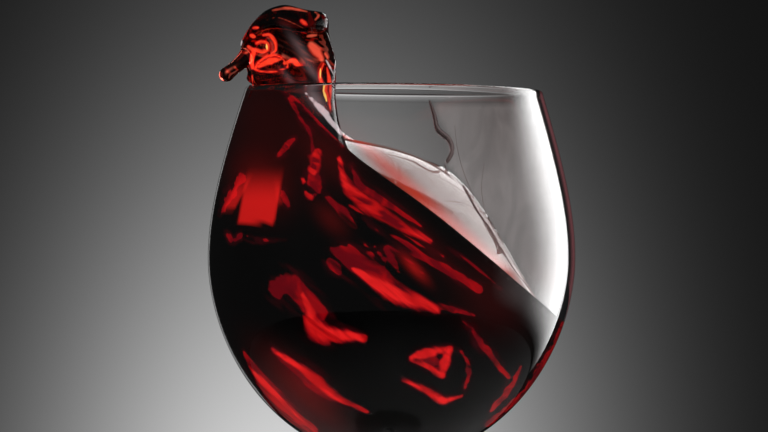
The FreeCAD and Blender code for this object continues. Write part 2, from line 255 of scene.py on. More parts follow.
# ---- the wine in the bowl ----------------------------------------------------------------------------
SEAT_RADIUS = 4.0
LEVEL_UNDER_RIM = 25.3
SURFACE_TILT = math.radians(39.8)
SWELL_HEIGHT = 17.0
SWELL_BEARING = math.radians(66.0)
SWELL_SPREAD = math.radians(26.0)
SAG_DEPTH = 3.0
SAG_BEARING = math.radians(-104.0)
SAG_SPREAD = math.radians(21.0)
RIM_MARGIN = 1.6
EDGE_SOFTNESS = 1.6
MENISCUS = 0.8  # how far the wine creeps up the wall
WINE_AROUND = 480
WALL_RINGS = 96
SURFACE_RINGS = 34
CREST_RINGS = 76
NEAR_CROWDING = 0.3  # how much closer the columns stand on the near side


def bearings():
    """Bearings once round, u - k*cos(u), so that they crowd together at -90 degrees."""
    even = once_round(WINE_AROUND)
    return even - NEAR_CROWDING * np.cos(even) + NEAR_CROWDING


def bump(bearing, middle, spread):
    """A bell over the bearing: exp(-(turn from the middle / spread)^2)."""
    turn = (bearing - middle + math.pi) % (2 * math.pi) - math.pi
    return np.exp(-((turn / spread) ** 2))


def edge_height(bearing):
    """Height of the wine's edge on the wall: a tilted plane, swollen at the far wall and sagging at the
    near one, rounded off under the rim by -s*log(exp(-plane/s) + exp(-highest/s)). The radius depends on
    the height, so a few rounds settle it."""
    height = np.full_like(bearing, BELLY_HEIGHT)
    swell = SWELL_HEIGHT * bump(bearing, SWELL_BEARING, SWELL_SPREAD)
    sag = SAG_DEPTH * bump(bearing, SAG_BEARING, SAG_SPREAD)
    highest = RIM_HEIGHT - RIM_MARGIN
    for _ in range(20):
        x = bowl_radius(height, WINE) * np.cos(bearing)
        plane = RIM_HEIGHT - LEVEL_UNDER_RIM - math.tan(SURFACE_TILT) * x + swell - sag
        limited = -EDGE_SOFTNESS * np.logaddexp(-plane / EDGE_SOFTNESS, -highest / EDGE_SOFTNESS)
        height = (height + limited) / 2
    return height


def wall_rings():
    """Rings up the wall, (r*cos, r*sin, h), evenly spaced in angle from the seat to the wine's edge."""
    bearing = bearings()
    depth = WINE[2]
    seat = math.asin(SEAT_RADIUS / WINE[0])
    top = angle_at(edge_height(bearing), depth)
    share = np.linspace(0, 1, WALL_RINGS)[:, None]
    height = height_at(seat + (top - seat) * share, depth)
    radius = bowl_radius(height, WINE)
    return np.stack([radius * np.cos(bearing), radius * np.sin(bearing), height], axis=-1)


ROOT_SWEEP = 0.36  # length of the upward pull at the crest's foot, as a share of the way there


def surface_rings(edge, foot):
    """Rings over the surface from the edge to the crest's foot: for each bearing a cubic Bezier that leaves
    the wall along the surface's tilt and arrives straight up, with a meniscus exp(-distance) at the wall."""
    share = np.arange(1, SURFACE_RINGS) / SURFACE_RINGS
    s = (0.4 * share + 0.6 * smooth_step(0, 1, share))[:, None, None]
    inward = foot - edge
    span = np.linalg.norm(inward, axis=1)[:, None]
    fall = np.minimum(-math.tan(SURFACE_TILT) * inward[:, :1], inward[:, 2:])
    leave = edge + np.concatenate([inward[:, :2], fall], axis=1) * 0.5
    arrive = foot - span * [0, 0, ROOT_SWEEP]
    rings = bezier([edge, leave, arrive, foot], s[:, 0])
    away = np.linalg.norm(rings - edge, axis=2)
    rings[..., 2] -= MENISCUS * (1 - np.exp(-away / MENISCUS)) * smooth_step(6, 14, span[:, 0])
    return rings


# ---- the crest over the rim --------------------------------------------------------------------------
CREST_INSET = 1.6
CREST_WIDTH = 22.4
CREST_WAIST = 12.0
SHEET_THICKNESS = 5.4
LIP_THICKNESS = 6.6
CREST_LEAN = 4.4
CREST_RISE = 11.2
LIP_CURL_RADIUS = 7.0
LIP_CURL = math.radians(150.0)
LIP_SET_IN = 2.2
LIP_TAPER = 12.0
LEFT_FALL = 0.34
RIGHT_FALL = 0.04
FALL_POWER = 2.2
SECTION_FULLNESS = 0.85
CREST_FLOAT = 0.9
CREST_LENGTH = CREST_RISE + LIP_CURL_RADIUS * LIP_CURL
CREST_LEFT = CREST_INSET - (RIM_RADIUS - RIM_WALL)
CREST_BASE = RIM_HEIGHT + CREST_FLOAT
CAP_RADIUS = 0.3
EDGE_CUP = 1.5  # how far both edges of the section bend forward
LIP_TILT = 1.7
FLOW_ACROSS = (0.79, 0.61)  # direction in X and Z that crosses the crest's folds

FINGER_ALONG = 11.5  # where the finger leaves the crest's left edge, along its middle line
FINGER_PATCH = 3.1
FINGER_END = 0.3  # share of the patch that becomes the finger's round end
FINGER_AXIS = [(-40.6, -0.3, 9.2), (-44.2, -1.0, 6.4), (-47.4, -1.7, 3.5)]  # X, Y and height over the rim
FINGER_RADII = (3.3, 2.0, 2.15)
PUSHES = [  # place (X, Y, over the rim), reach and move of each swelling or dent
    ((-20.9, -8.0, 19.4), 3.0, (1.1, -0.5, 0.9)),  # knob at the lip's right end
    ((-30.0, -6.0, 22.0), 6.0, (0.0, -0.3, 1.3)),  # crown of the lip
    ((-39.6, -0.5, 2.0), 2.2, (-1.9, -0.5, 0.0)),  # bulge over the rim
    ((-42.0, -1.0, 13.2), 2.4, (-0.9, -0.4, 0.3)),  # shoulder over the finger
    ((-31.0, -3.5, 5.5), 3.4, (0.0, -1.0, 0.0)),  # fold over the rim
    ((-19.5, -3.0, 3.0), 2.6, (0.3, -1.3, 0.0)),  # ribbon on the right
    ((-20.5, -2.0, 10.0), 2.4, (0.0, 0.9, 0.0)),
]


def squared(value):
    """A cosine or sine pushed towards 1 or -1: sign * |value|^fullness."""
    return np.sign(value) * np.abs(value) ** SECTION_FULLNESS


def crest_lengths():
    """Places along the crest's middle line, whose density is 1 plus a bell at the finger and a rise by
    exp(distance) towards the end."""
    trial = np.linspace(0, CREST_LENGTH * 0.9996, 900)
    at_finger = np.exp(-(((trial - FINGER_ALONG) / 2.8) ** 2))
    passed = np.cumsum(1 + 2.2 * at_finger + 4 * np.exp((trial - CREST_LENGTH) / 1.2))
    share = (passed - passed[0]) / (passed[-1] - passed[0])
    return np.interp(np.linspace(0, 1, CREST_RINGS), share, trial)[:, None]


def crest_thickness(length):
    """Thickness along the crest: from the waist down to the sheet, then up to the lip."""
    waist = CREST_WAIST + (SHEET_THICKNESS - CREST_WAIST) * smooth_step(0, CREST_RISE * 0.7, length)
    lip_start = CREST_RISE * 0.6
    return waist + (LIP_THICKNESS - waist) * smooth_step(lip_start, lip_start + CREST_LENGTH * 0.4, length)


def at_least(value, least):
    """The value, but no nearer to 0 than the least, with the least's sign."""
    return np.sign(least) * np.maximum(np.abs(value), np.abs(least))


def crest_rings():
    """Sections across a middle line that rises straight and then curls forward by an arc, their width drawn
    in at the right, swung out over the rim at the left and rounded off as sqrt(1-t^2) at the end of the lip.
    Each section is a squared oval, thicker at both edges and bent forward there."""
    length = crest_lengths()
    around = bearings()[None, :]
    turn = np.maximum(0, length - CREST_RISE) / LIP_CURL_RADIUS
    y = -LIP_CURL_RADIUS * (1 - np.cos(turn))
    z = CREST_BASE + np.minimum(length, CREST_RISE) + LIP_CURL_RADIUS * np.sin(turn)
    to_end = np.maximum(0, (length - (CREST_LENGTH - LIP_TAPER)) / LIP_TAPER)
    left = CREST_LEFT - CREST_LEAN * np.sin(math.pi * np.minimum(1, length / CREST_LENGTH))
    right = CREST_LEFT + CREST_WIDTH - LIP_SET_IN * smooth_step(0, 1, length / CREST_RISE - 0.5)
    middle, half = (left + right) / 2, (right - left) / 2
    thickness = crest_thickness(length) * np.sqrt(np.maximum(0, 1 - to_end**6))
    narrow = np.sqrt(np.maximum(0, 1 - to_end**2))
    c, s = np.cos(around), np.sin(around)
    across = at_least(half * narrow * squared(c), CAP_RADIUS * c)
    side = np.abs(across / half)
    edged = 0.8 + 0.42 * smooth_step(0.2, 0.95, side)
    deep = at_least(thickness / 2 * squared(s) * edged, CAP_RADIUS * s)
    fall = np.where(across < 0, LEFT_FALL, RIGHT_FALL) * side**FALL_POWER
    up = (z + deep * np.sin(turn) - CREST_BASE) * (1 - fall)
    grown = smooth_step(0, 5, length)
    cup = EDGE_CUP * side**2 * grown
    tilt = LIP_TILT * (across / half) * smooth_step(0.5, 2.0, turn)
    rings = np.stack([middle + across, y + deep * np.cos(turn) - cup, CREST_BASE + up - tilt], axis=-1)
    rings = ruffled(rings, smooth_step(0.5, -1.5, deep) * grown * (1 - to_end**3))
    from_edge = np.where(s > 0, -1, 1) * (np.abs(deep) + half * narrow - np.abs(across))
    rings = with_finger(rings, length - FINGER_ALONG, from_edge, c < 0)
    for place, reach, move in PUSHES:
        rings = pushed(rings, place, reach, move)
    return rings


def ruffled(rings, weight):
    """Slanting folds (two sines across the flow), rings of ripples round the finger's root (a sine of the
    distance under a bell) and one oval hollow, all pushed towards the near side."""
    x, z = rings[..., 0], rings[..., 2] - RIM_HEIGHT
    across_flow = FLOW_ACROSS[0] * x + FLOW_ACROSS[1] * z
    folds = 0.3 * np.sin(across_flow * 1.1 + 0.8) + 0.08 * np.sin(across_flow * 2.3 + 0.1 * z * z)
    folds = folds * smooth_step(-37, -31, x)
    distance = np.hypot(x + 37.6, z - 11.2)
    ripples = 0.42 * np.sin(distance * 2.6 + 1.0) * np.exp(-((distance / 4.6) ** 2))
    oval = np.hypot((x + 34.6) / 4.6, (z - 6.6) / 2.4)
    hollow = 0.9 * np.sin(np.minimum(oval, 2) * math.pi) * np.exp(-((oval / 1.6) ** 2))
    moved = rings.copy()
    moved[..., 1] -= (folds + ripples + hollow) * weight
    return moved


def finger_frame(t):
    """Middle line of the finger at t, a Bezier through its poles, its heading from there to a little
    further on, and the two directions square to it, near and up."""
    poles = [np.array(pole) + [0, 0, RIM_HEIGHT] for pole in FINGER_AXIS]
    behind = np.minimum(t, 0.98)
    heading = bezier(poles, behind + 0.02) - bezier(poles, behind)
    heading = heading / np.linalg.norm(heading, axis=-1, keepdims=True)
    near = [0.0, -1.0, 0.0] + heading * heading[..., 1:2]
    near = near / np.linalg.norm(near, axis=-1, keepdims=True)
    return bezier(poles, t), heading, near, np.cross(heading, near)


def with_finger(rings, along, from_edge, left_half):
    """The patch round a spot on the left edge is drawn out into a finger: the distance from the spot, over
    the patch's reach, becomes the way back from its tip, and the direction the turn round its middle line.
    The radius runs on a Bezier through the three given ones and ends in half a ball."""
    spread = np.where(left_half, np.hypot(along, from_edge) / FINGER_PATCH, 9.0)
    flat = np.maximum(spread * FINGER_PATCH, 1e-6)
    t = np.clip((1 - spread) / (1 - FINGER_END), 0, 1)
    axis, heading, near, upward = finger_frame(t)
    root, waist, tip = FINGER_RADII
    end = math.pi / 2 * np.clip(1 - spread / FINGER_END, 0, 1)
    radius = bezier([[root], [waist * 2 - (root + tip) / 2], [tip]], t)[..., 0]
    radius = radius * np.cos(end) * np.maximum(1, spread)
    aside = near * (from_edge / flat)[..., None] + upward * (along / flat)[..., None]
    tube = axis + heading * (tip * np.sin(end))[..., None] + aside * radius[..., None]
    weight = smooth_step(1.45, 0.8, spread)[..., None]
    return rings * (1 - weight) + tube * weight


def pushed(rings, place, reach, move):
    """Points moved by move*exp(-(distance/reach)^2)."""
    centre = np.array(place) + [0, 0, RIM_HEIGHT]
    near = np.exp(-(((rings - centre) ** 2).sum(axis=-1)) / reach**2)
    return rings + near[..., None] * np.array(move)


# ---- painted light, standing in for light that comes through the wine --------------------------------
# Each streak is a line of painted light on the bowl, (across, under the rim) in millimetres, with its half
# width at the start, the middle and the end.
BRIGHT_STREAKS = [
    ([(-15, 20.5), (-12.5, 28), (-5.5, 34), (2.5, 38.5), (10.5, 42.5)], (0.3, 1.9, 0.5)),  # main streak
    ([(-24.5, 57), (-22.5, 61.5), (-22, 65), (-18.5, 67.8), (-12.5, 67.8), (-7.5, 68.5)],  # the drip
     (0.4, 2.4, 0.8)),
    ([(-40.3, 77), (-36.5, 82), (-30.5, 89), (-23.5, 95.5)], (0.3, 1.3, 1.2)),  # left wall, low down
    ([(-10.5, 50), (-4.5, 53.8), (3, 57.0), (12, 60.2)], (0.5, 2.6, 1.3)),  # lower edge of the second mass
    ([(5.5, 73.5), (11, 72), (16.5, 71)], (0.3, 1.4, 0.6)),  # the loop
    ([(16, 71.5), (15, 75), (14.5, 78)], (0.8, 1.3, 0.7)),
    ([(5.5, 74), (10.5, 76), (14.5, 78)], (0.3, 0.6, 0.8)),
    ([(3.5, 79.5), (9.5, 82), (15, 85), (20.5, 84)], (0.3, 0.9, 0.4)),
    ([(-33, 72.5), (-24.5, 77.5), (-16.5, 84), (-6.5, 88.5)], (0.3, 1.5, 0.3)),  # crescent
    ([(-21, 19), (-22, 24)], (0.9, 1.6, 1.2)),  # glints under the neck
    ([(-29.8, 18), (-29.3, 17.3)], (0.4, 0.7, 0.4)),
    ([(-24, 30), (-22.5, 31), (-21, 30.4)], (0.3, 0.7, 0.3)),
    ([(-25, 26), (-24.5, 27.5)], (0.2, 0.4, 0.2)),
]
DEEP_STREAKS = [
    ([(19.5, 63.5), (22.5, 66), (25, 69.5), (29, 74), (34, 79.5)], (0.3, 1.2, 0.5)),
    ([(9.5, 73.6), (12.5, 74.4)], (1.2, 1.5, 1.2)),  # inside the loop
    ([(-42, 26), (-45, 31), (-48, 36)], (1.2, 1.4, 0.4)),
    ([(-30.5, 29.5), (-28.5, 34)], (0.5, 0.8, 0.3)),
    ([(-46.5, 41), (-44, 43.5), (-41, 41), (-38.5, 43), (-29, 42.5)], (0.5, 0.5, 0.15)),
    ([(50.2, 61), (47, 70), (40, 82), (30, 92)], (0.4, 1.3, 0.8)),  # band along the right wall
    ([(37, 76), (34, 83), (30, 88)], (0.3, 1.0, 0.5)),
    ([(-31, 55.5), (-28, 54.5), (-23.5, 58.5), (-21, 62)], (2.6, 3.0, 2.8)),  # head of the drip
    ([(-18.5, 44.5), (-12.5, 46.5), (-5.5, 51), (2.5, 56.5)], (0.3, 3.0, 2.0)),  # second mass
    ([(-12, 43.5), (-8.5, 46)], (0.2, 0.6, 0.4)),  # its ragged upper edge
    ([(-8.5, 42.5), (-5, 46.5)], (0.2, 0.6, 0.5)),
    ([(-4.8, 44), (-1.5, 48.5)], (0.2, 0.6, 0.5)),
    ([(12, 59.5), (23, 62)], (1.0, 0.6, 0.2)),
    ([(-17, 48), (-14.5, 51)], (1.0, 1.5, 0.8)),
    ([(-11.5, 22.5), (-8.5, 28.5), (-2, 32.5), (8, 38.5)], (0.3, 1.3, 0.3)),
    ([(-13.5, 30.5), (-6.5, 33.5)], (0.1, 0.3, 0.1)),
    ([(-12, 33), (-7.5, 36)], (0.1, 0.25, 0.1)),
    ([(-7.5, 36.5), (2, 42), (10, 47.5), (16, 50.5), (24, 55)], (0.3, 0.7, 0.9)),
    ([(-5.5, 36), (4, 41.5), (14, 46.5)], (0.1, 0.25, 0.1)),
    ([(-6.5, 38.5), (3.5, 44.8), (12, 51)], (0.1, 0.22, 0.1)),
    ([(-4.5, 41.5), (3, 46.5), (9, 51.5)], (0.1, 0.3, 0.1)),
    ([(15, 44), (22, 48.5), (30, 55)], (0.1, 0.3, 0.1)),
    ([(-18, 31), (-13.5, 35.5), (-10, 39)], (0.5, 1.5, 0.5)),
    ([(-2.5, 43.5), (2, 50.5)], (0.6, 1.5, 0.5)),
    ([(19.5, 71.5), (22, 76), (21.5, 81.5)], (0.4, 0.8, 0.6)),
    ([(-33, 72.5), (-26, 77.5), (-19, 83), (-8, 88)], (0.6, 2.4, 0.6)),
    ([(-41.5, 73.5), (-36.5, 82), (-30.5, 89), (-23.5, 95.5)], (0.6, 2.6, 1.6)),  # band along the left wall
    ([(-32, 20), (-29.5, 17.5), (-27.5, 15.5)], (0.4, 0.9, 0.3)),
    ([(-30.5, 2), (-27, 8), (-23, 14.5), (-22, 19)], (0.5, 0.4, 0.8)),
    ([(-29, 2.5), (-22.5, 8.5), (-14, 17.5)], (0.5, 0.8, 0.5)),
    ([(-22.5, 24), (-21.5, 27), (-20.5, 29.5)], (1.2, 1.6, 0.8)),
]
# The same painted light on the crest and its neck, (X, over the rim): orange for light through the thin
# sheet, salmon for glows, pale for glints and reflections, hot for the brightest highlights.
CREST_ORANGE = [
    ([(-39, 12.3), (-37.6, 12.9), (-35.9, 12.4), (-35.8, 10.7), (-37.5, 10.1), (-39.2, 10.6)],
     (0.5, 0.5, 0.6)),
    ([(-37.0, 14.6), (-35.3, 14.7), (-33.9, 13.0), (-33.6, 10.7), (-34.7, 9.6)], (0.4, 0.55, 0.3)),
    ([(-41.2, 11.3), (-39.8, 10.1), (-40.3, 7.8), (-39.9, 5.4)], (0.5, 0.75, 0.5)),
    ([(-39.2, 5.0), (-38.3, 7.0), (-35.2, 9.0), (-32.4, 8.7), (-30.4, 6.8)], (0.4, 0.35, 0.25)),
    ([(-30.4, 6.8), (-30.1, 5.7), (-33.5, 4.5), (-37.4, 4.4), (-39.2, 5.0)], (0.2, 0.3, 0.4)),
    ([(-38.2, 5.9), (-34.7, 7.4), (-31.9, 8.0)], (0.6, 1.0, 0.3)),
    ([(-31.0, 6.8), (-28.4, 7.8), (-27.4, 6.6), (-25.2, 6.6)], (0.5, 0.8, 0.2)),
    ([(-19.9, 6.9), (-21, 3.8), (-20.1, 0.7), (-18.9, -2.1), (-18, -4.9), (-17.7, -7.6)], (0.3, 0.75, 0.15)),
    ([(-19.0, 5.8), (-18.3, 2.4), (-17.9, -1.0), (-17.8, -3.6)], (0.2, 0.7, 0.2)),
    ([(-39.6, 16.3), (-38.3, 16.3)], (0.4, 0.45, 0.3)),
    ([(-40.3, 14.3), (-39.4, 14.0)], (0.5, 0.6, 0.4)),
    ([(-26.0, 18.2), (-24.6, 17.1)], (0.6, 0.7, 0.3)),
    ([(-40.1, 3.2), (-40.0, 1.6), (-39.9, 0.4), (-40.2, -0.4)], (0.25, 0.15, 0.4)),
    ([(-49.2, 4.2), (-49.2, 2.6), (-47.9, 1.6)], (0.1, 0.2, 0.1)),
]
CREST_SALMON = [
    ([(-34.3, 21.2), (-29.8, 21.9), (-24.6, 21.1)], (0.4, 0.75, 0.3)),
    ([(-22.4, 21.0), (-21.4, 20.0), (-22.2, 18.7)], (0.3, 0.5, 0.4)),
    ([(-24.5, 14.5), (-22.1, 14.8)], (0.45, 0.6, 0.4)),
    ([(-23.4, 12.1), (-22.0, 10.4), (-20.5, 8.1)], (1.2, 1.6, 0.9)),
    ([(-19.6, 9.8), (-18.8, 8.4)], (0.5, 0.6, 0.4)),
    ([(-47.3, 4.2), (-46.9, 4.1)], (0.4, 0.5, 0.4)),
    ([(-45.3, 5.6), (-44.9, 5.4)], (0.3, 0.45, 0.3)),
    ([(-42.3, 9.5), (-41.3, 9.9)], (0.4, 0.55, 0.4)),
    ([(-35.9, 18.3), (-32.5, 19.0), (-26.8, 16.8), (-24.8, 15.7)], (0.1, 0.2, 0.1)),
]
CREST_PALE = [
    ([(-16.7, 13.8), (-16.2, 9.5), (-16.8, 5.8)], (0.15, 0.3, 0.15)),
    ([(-19.4, 8.1), (-17.0, 3.9)], (0.2, 0.35, 0.15)),
    ([(-25.7, -1.1), (-23.2, -3.3), (-20.0, -6.7), (-17.1, -10.3), (-13.9, -14.0)], (0.1, 0.95, 0.5)),
    ([(-16.7, -1.0), (-15.8, -4.1), (-14.3, -8.3), (-12.3, -12.2), (-10.5, -15.9)], (0.1, 0.6, 0.4)),
    ([(-43.3, 13.4), (-43.3, 11.7)], (0.2, 0.4, 0.2)),
]
CREST_HOT = [
    ([(-36.2, 12.2), (-36.0, 10.7)], (0.1, 0.28, 0.1)),
    ([(-20.8, 5.5), (-20.8, 2.7)], (0.1, 0.22, 0.1)),
    ([(-19.9, -0.7), (-18.8, -4.4)], (0.15, 0.35, 0.15)),
]
CREST_SHEENS = [  # painted sheens: middle, spreads along and across a slant of 52 degrees, level
    ((-26.5, 11.0), (5.0, 1.2), 0.07),
    ((-23.5, 5.0), (4.0, 1.0), 0.09),
    ((-29.5, 2.2), (3.5, 0.9), 0.05),
    ((-22.0, -3.5), (4.0, 1.6), 0.16),
]
SOFT_GLOWS = [  # painted glows: middle, spreads along and across the flow, level
    ((-37.0, 27.0), (8.0, 6.5), 0.05),
    ((-18.0, 20.0), (9.0, 5.0), 0.025),
    ((6.0, 49.5), (4.2, 1.2), 0.26),
    ((-36.0, 10.0), (16.0, 12.0), 0.014),
    ((28.0, 58.0), (10.0, 8.0), 0.016),
    ((8.0, 42.0), (14.0, 3.0), 0.02),
    ((-25.0, 83.5), (12.0, 4.5), 0.07),
    ((-17.0, 37.0), (5.0, 2.5), 0.04),
]
PANELS = [  # painted glow in boxes: upper, lower, left and right edge, slant of the sides, level
    (22.5, 38.4, -42.9, -32.6, 0.16, 0.52),
    (24.0, 35.0, -47.5, -44.2, 0.55, 0.36),
    (25.0, 33.5, -31.6, -30.2, -0.2, 0.16),
]
FIELD_LIMIT = 4.0  # a field goes no further below its streaks' edges
FLOW_ALONG = (0.72, 0.69)  # direction, across and down, that the soft glows are drawn out along
ORANGE_GLOW_LIFT = (5.2, 0.8)  # height over the tilted plane where the surface's painted sheen is pale and where it is an orange painted glow
FAR_SIDE_SHIFT = (4.0, 3.0)  # the far half's streaks lie a little off the near half's


def through_points(points, count=33):
    """A smooth line through given points: each coordinate a chain of cubic Hermite pieces whose slopes
    are the chords from neighbour to neighbour."""
    points = np.asarray(points, dtype=float)
    slopes = np.gradient(points, axis=0)
    place = np.linspace(0, len(points) - 1, count)
    k = np.minimum(place.astype(int), len(points) - 2)
    t = (place - k)[:, None]
    return (
        points[k] * (2 * t**3 - 3 * t**2 + 1) + slopes[k] * (t**3 - 2 * t**2 + t)
        + points[k + 1] * (3 * t**2 - 2 * t**3) + slopes[k + 1] * (t**3 - t**2)
    )


def inside_streak(across, under, line, widths):
    """How far inside a streak each point lies: the half width w at the nearest spot of its line less the
    distance to it, over 0.35+0.5w, so that thin and wide streaks fray alike."""
    path = through_points(line, 21)
    half = np.interp(np.linspace(0, 1, len(path)), [0, 0.5, 1], widths)
    best = np.full(across.shape, -FIELD_LIMIT)
    for (x, z), (step_x, step_z), w, more in zip(path, np.diff(path, axis=0), half, np.diff(half)):
        share = ((across - x) * step_x + (under - z) * step_z) / (step_x**2 + step_z**2)
        share = np.clip(share, 0, 1)
        distance = np.hypot(across - x - share * step_x, under - z - share * step_z)
        here = w + more * share
        best = np.maximum(best, (here - distance) / (0.35 + 0.5 * here))
    return best


def streak_field(across, under, streaks):
    """How far inside the nearest of several streaks each point lies."""
    field = np.full(across.shape, -FIELD_LIMIT)
    for line, widths in streaks:
        field = np.maximum(field, inside_streak(across, under, line, widths))
    return field


def bells(x, z, middles, heading):
    """Sum of soft spots drawn out along a heading: level*exp(-(along/long)^2 - (aside/wide)^2) each."""
    total = np.zeros(x.shape)
    for (x0, z0), (long, wide), level in middles:
        along = (x - x0) * heading[0] + (z - z0) * heading[1]
        aside = (z - z0) * heading[0] - (x - x0) * heading[1]
        total += level * np.exp(-((along / long) ** 2) - (aside / wide) ** 2)
    return total


def wall_fields(points):
    """The bright, deep and soft painted light over points on the wall, laid out across the bowl as it is
    seen from the near side: X scaled out to the outer skin, and depth under the rim. The soft painted light
    is the glows and the panels, boxes with smoothed edges and slanting sides."""
    radius = np.hypot(points[..., 0], points[..., 1])
    far = smooth_step(-2, 2, points[..., 1])
    across = points[..., 0] * bowl_radius(points[..., 2], OUTER) / np.maximum(radius, 1)
    across = across - far * FAR_SIDE_SHIFT[0]
    under = RIM_HEIGHT - points[..., 2] - far * FAR_SIDE_SHIFT[1]
    soft = bells(across, under, SOFT_GLOWS, FLOW_ALONG)
    for top, bottom, left, right, slant, level in PANELS:
        aside = across + slant * (under - bottom)
        panel = smooth_step(top, (top + bottom * 2) / 3, under)
        panel = panel * smooth_step(bottom + 0.3, bottom - 0.5, under)
        panel = panel * smooth_step(left - 0.5, left + 0.6, aside)
        soft += level * panel * smooth_step(right + 0.4, right - 0.4, aside)
    bright = streak_field(across, under, BRIGHT_STREAKS)
    return {"bright": bright, "deep": streak_field(across, under, DEEP_STREAKS), "soft": soft}


def crest_fields(points):
    """The painted light fields of the crest, from X and height over the rim, the same on its near and far
    side. The painted sheens are drawn out along the folds."""
    x, up = points[..., 0], points[..., 2] - RIM_HEIGHT
    groups = {"orange": CREST_ORANGE, "salmon": CREST_SALMON, "pale": CREST_PALE, "hot": CREST_HOT}
    fields = {name: streak_field(x, up, streaks) for name, streaks in groups.items()}
    fields["sheen"] = bells(x, up, CREST_SHEENS, (FLOW_ACROSS[1], -FLOW_ACROSS[0]))
    return fields


def surface_fields(points, free):
    """How much painted sheen each point of the open surface has: the pale painted sheen of the pool on the
    far half, the orange painted glow low over the tilted plane there, the pale painted sheen of the shallow
    end, and where the mirror is dulled."""
    x, y, z = points.T
    clear_of_crest = smooth_step(12, 26, np.hypot(x + 28, y))
    open_surface = free * clear_of_crest * smooth_step(RIM_HEIGHT - 4, RIM_HEIGHT - 14, z)
    far_half = smooth_step(9, 20, y)
    shallow_end = smooth_step(33, 41, x)
    plane = RIM_HEIGHT - LEVEL_UNDER_RIM - math.tan(SURFACE_TILT) * x
    orange_glow = far_half * smooth_step(*ORANGE_GLOW_LIFT, (z - plane) * math.cos(SURFACE_TILT))
    return {
        "pool": open_surface * far_half,
        "orange_glow": open_surface * orange_glow,
        "end": open_surface * shallow_end,
        "dull": open_surface * np.maximum(orange_glow, 1 - far_half) * (1 - shallow_end),
    }


def make_wine():
    """Wall side, surface and crest as one skin, with fields for what shines through it."""
    wall = wall_rings()
    crest = crest_rings()
    surface = surface_rings(wall[-1], crest[0])
    points, faces = closed_skin(np.concatenate([wall, surface, crest]))
    free = np.ones(len(points), dtype=bool)
    free[: WALL_RINGS * WINE_AROUND] = False
    free[-2] = False
    fields = {"free": free * 1.0, **surface_fields(points, free)}
    for has_it, group in ((~free, wall_fields(points)), (free, crest_fields(points))):
        for name, values in group.items():
            nothing = 0 if name in ("soft", "sheen") else -FIELD_LIMIT
            fields[name] = np.where(has_it, values, nothing)
    return mesh_object("wine_body", points, faces, fields)


# ---- wine left on the glass --------------------------------------------------------------------------
LEGS = [  # (X, under the rim), the radius at the start, the middle and the end, 1 for the far wall or -1
    ([(10.8, 1.8), (12.3, 6), (13.6, 10.5), (17.0, 13.5), (17.9, 17), (16.2, 20.5)], (0.4, 1.0, 0.6), 1),
    ([(15.6, 20.5), (17.0, 23.5), (20.2, 27.5)], (0.15, 0.4, 0.5), 1),
    ([(18.4, 27.4), (22.3, 34.2), (26.2, 39.8), (28.9, 44.6), (33.0, 50.4), (37.1, 55.6)],
     (0.4, 0.26, 0.1), -1),
    ([(18.5, 9.0), (19.5, 16), (21.5, 23), (25, 31)], (0.05, 0.09, 0.12), 1),
    ([(27.5, 20.0), (27.0, 29), (29.5, 40)], (0.05, 0.1, 0.14), 1),
]
LEG_AROUND = 12
LEG_FLATNESS = 0.16
LEG_INSET = 0.02
DROP_STRETCH = 1.35
RIM_DROPS = [(-40.1, 0.5, 0.5), (-39.9, 1.9, 0.42), (-40.3, 3.1, 0.34)]  # X, under the rim, radius


def leg_skin(line, radii, side):
    """Flat ovals across a line on the inner skin, out*cos*flatness + aside*sin, rounded off at both ends."""
    path = through_points(line, 90)
    z = RIM_HEIGHT - path[:, 1]
    skin = bowl_radius(z, INNER) - LEG_INSET
    centre = np.stack([path[:, 0], side * np.sqrt(skin**2 - path[:, 0] ** 2), z], axis=1)
    out = centre * [1, 1, 0] / skin[:, None]
    ahead = np.gradient(centre, axis=0)
    ahead = ahead / np.linalg.norm(ahead, axis=1, keepdims=True)
    aside = np.cross(ahead, out)
    share = np.linspace(0, 1, len(path))
    radius = np.interp(share, [0, 0.5, 1], radii) * np.sqrt(np.clip(1 - (2 * share - 1) ** 20, 0.01, 1))
    turn = once_round(LEG_AROUND)[None, :, None]
    oval = out[:, None] * np.cos(turn) * LEG_FLATNESS + aside[:, None] * np.sin(turn)
    return closed_skin(centre[:, None] + oval * radius[:, None, None])


def make_legs():
    """Thin trails of wine down the wall."""
    return mesh_object("wine_legs", *joined_skins([leg_skin(*leg) for leg in LEGS]))


def make_drops():
    """Small drops run down the outside under the crest: balls (sin*cos, sin*sin, cos) stretched upwards."""
    polar = np.linspace(0, math.pi, 14)[1:-1][::-1, None]
    turn = once_round(20)[None, :]
    flat, up = np.sin(polar), DROP_STRETCH * np.cos(polar) + 0 * turn
    ball = np.stack([flat * np.cos(turn), flat * np.sin(turn), up], axis=-1)
    skins = []
    for x, under, size in RIM_DROPS:
        skin = bowl_radius(RIM_HEIGHT - under, OUTER)
        skins.append(closed_skin(ball * size + [x, -math.sqrt(skin**2 - x**2), RIM_HEIGHT - under]))
    return mesh_object("wine_drops", *joined_skins(skins))


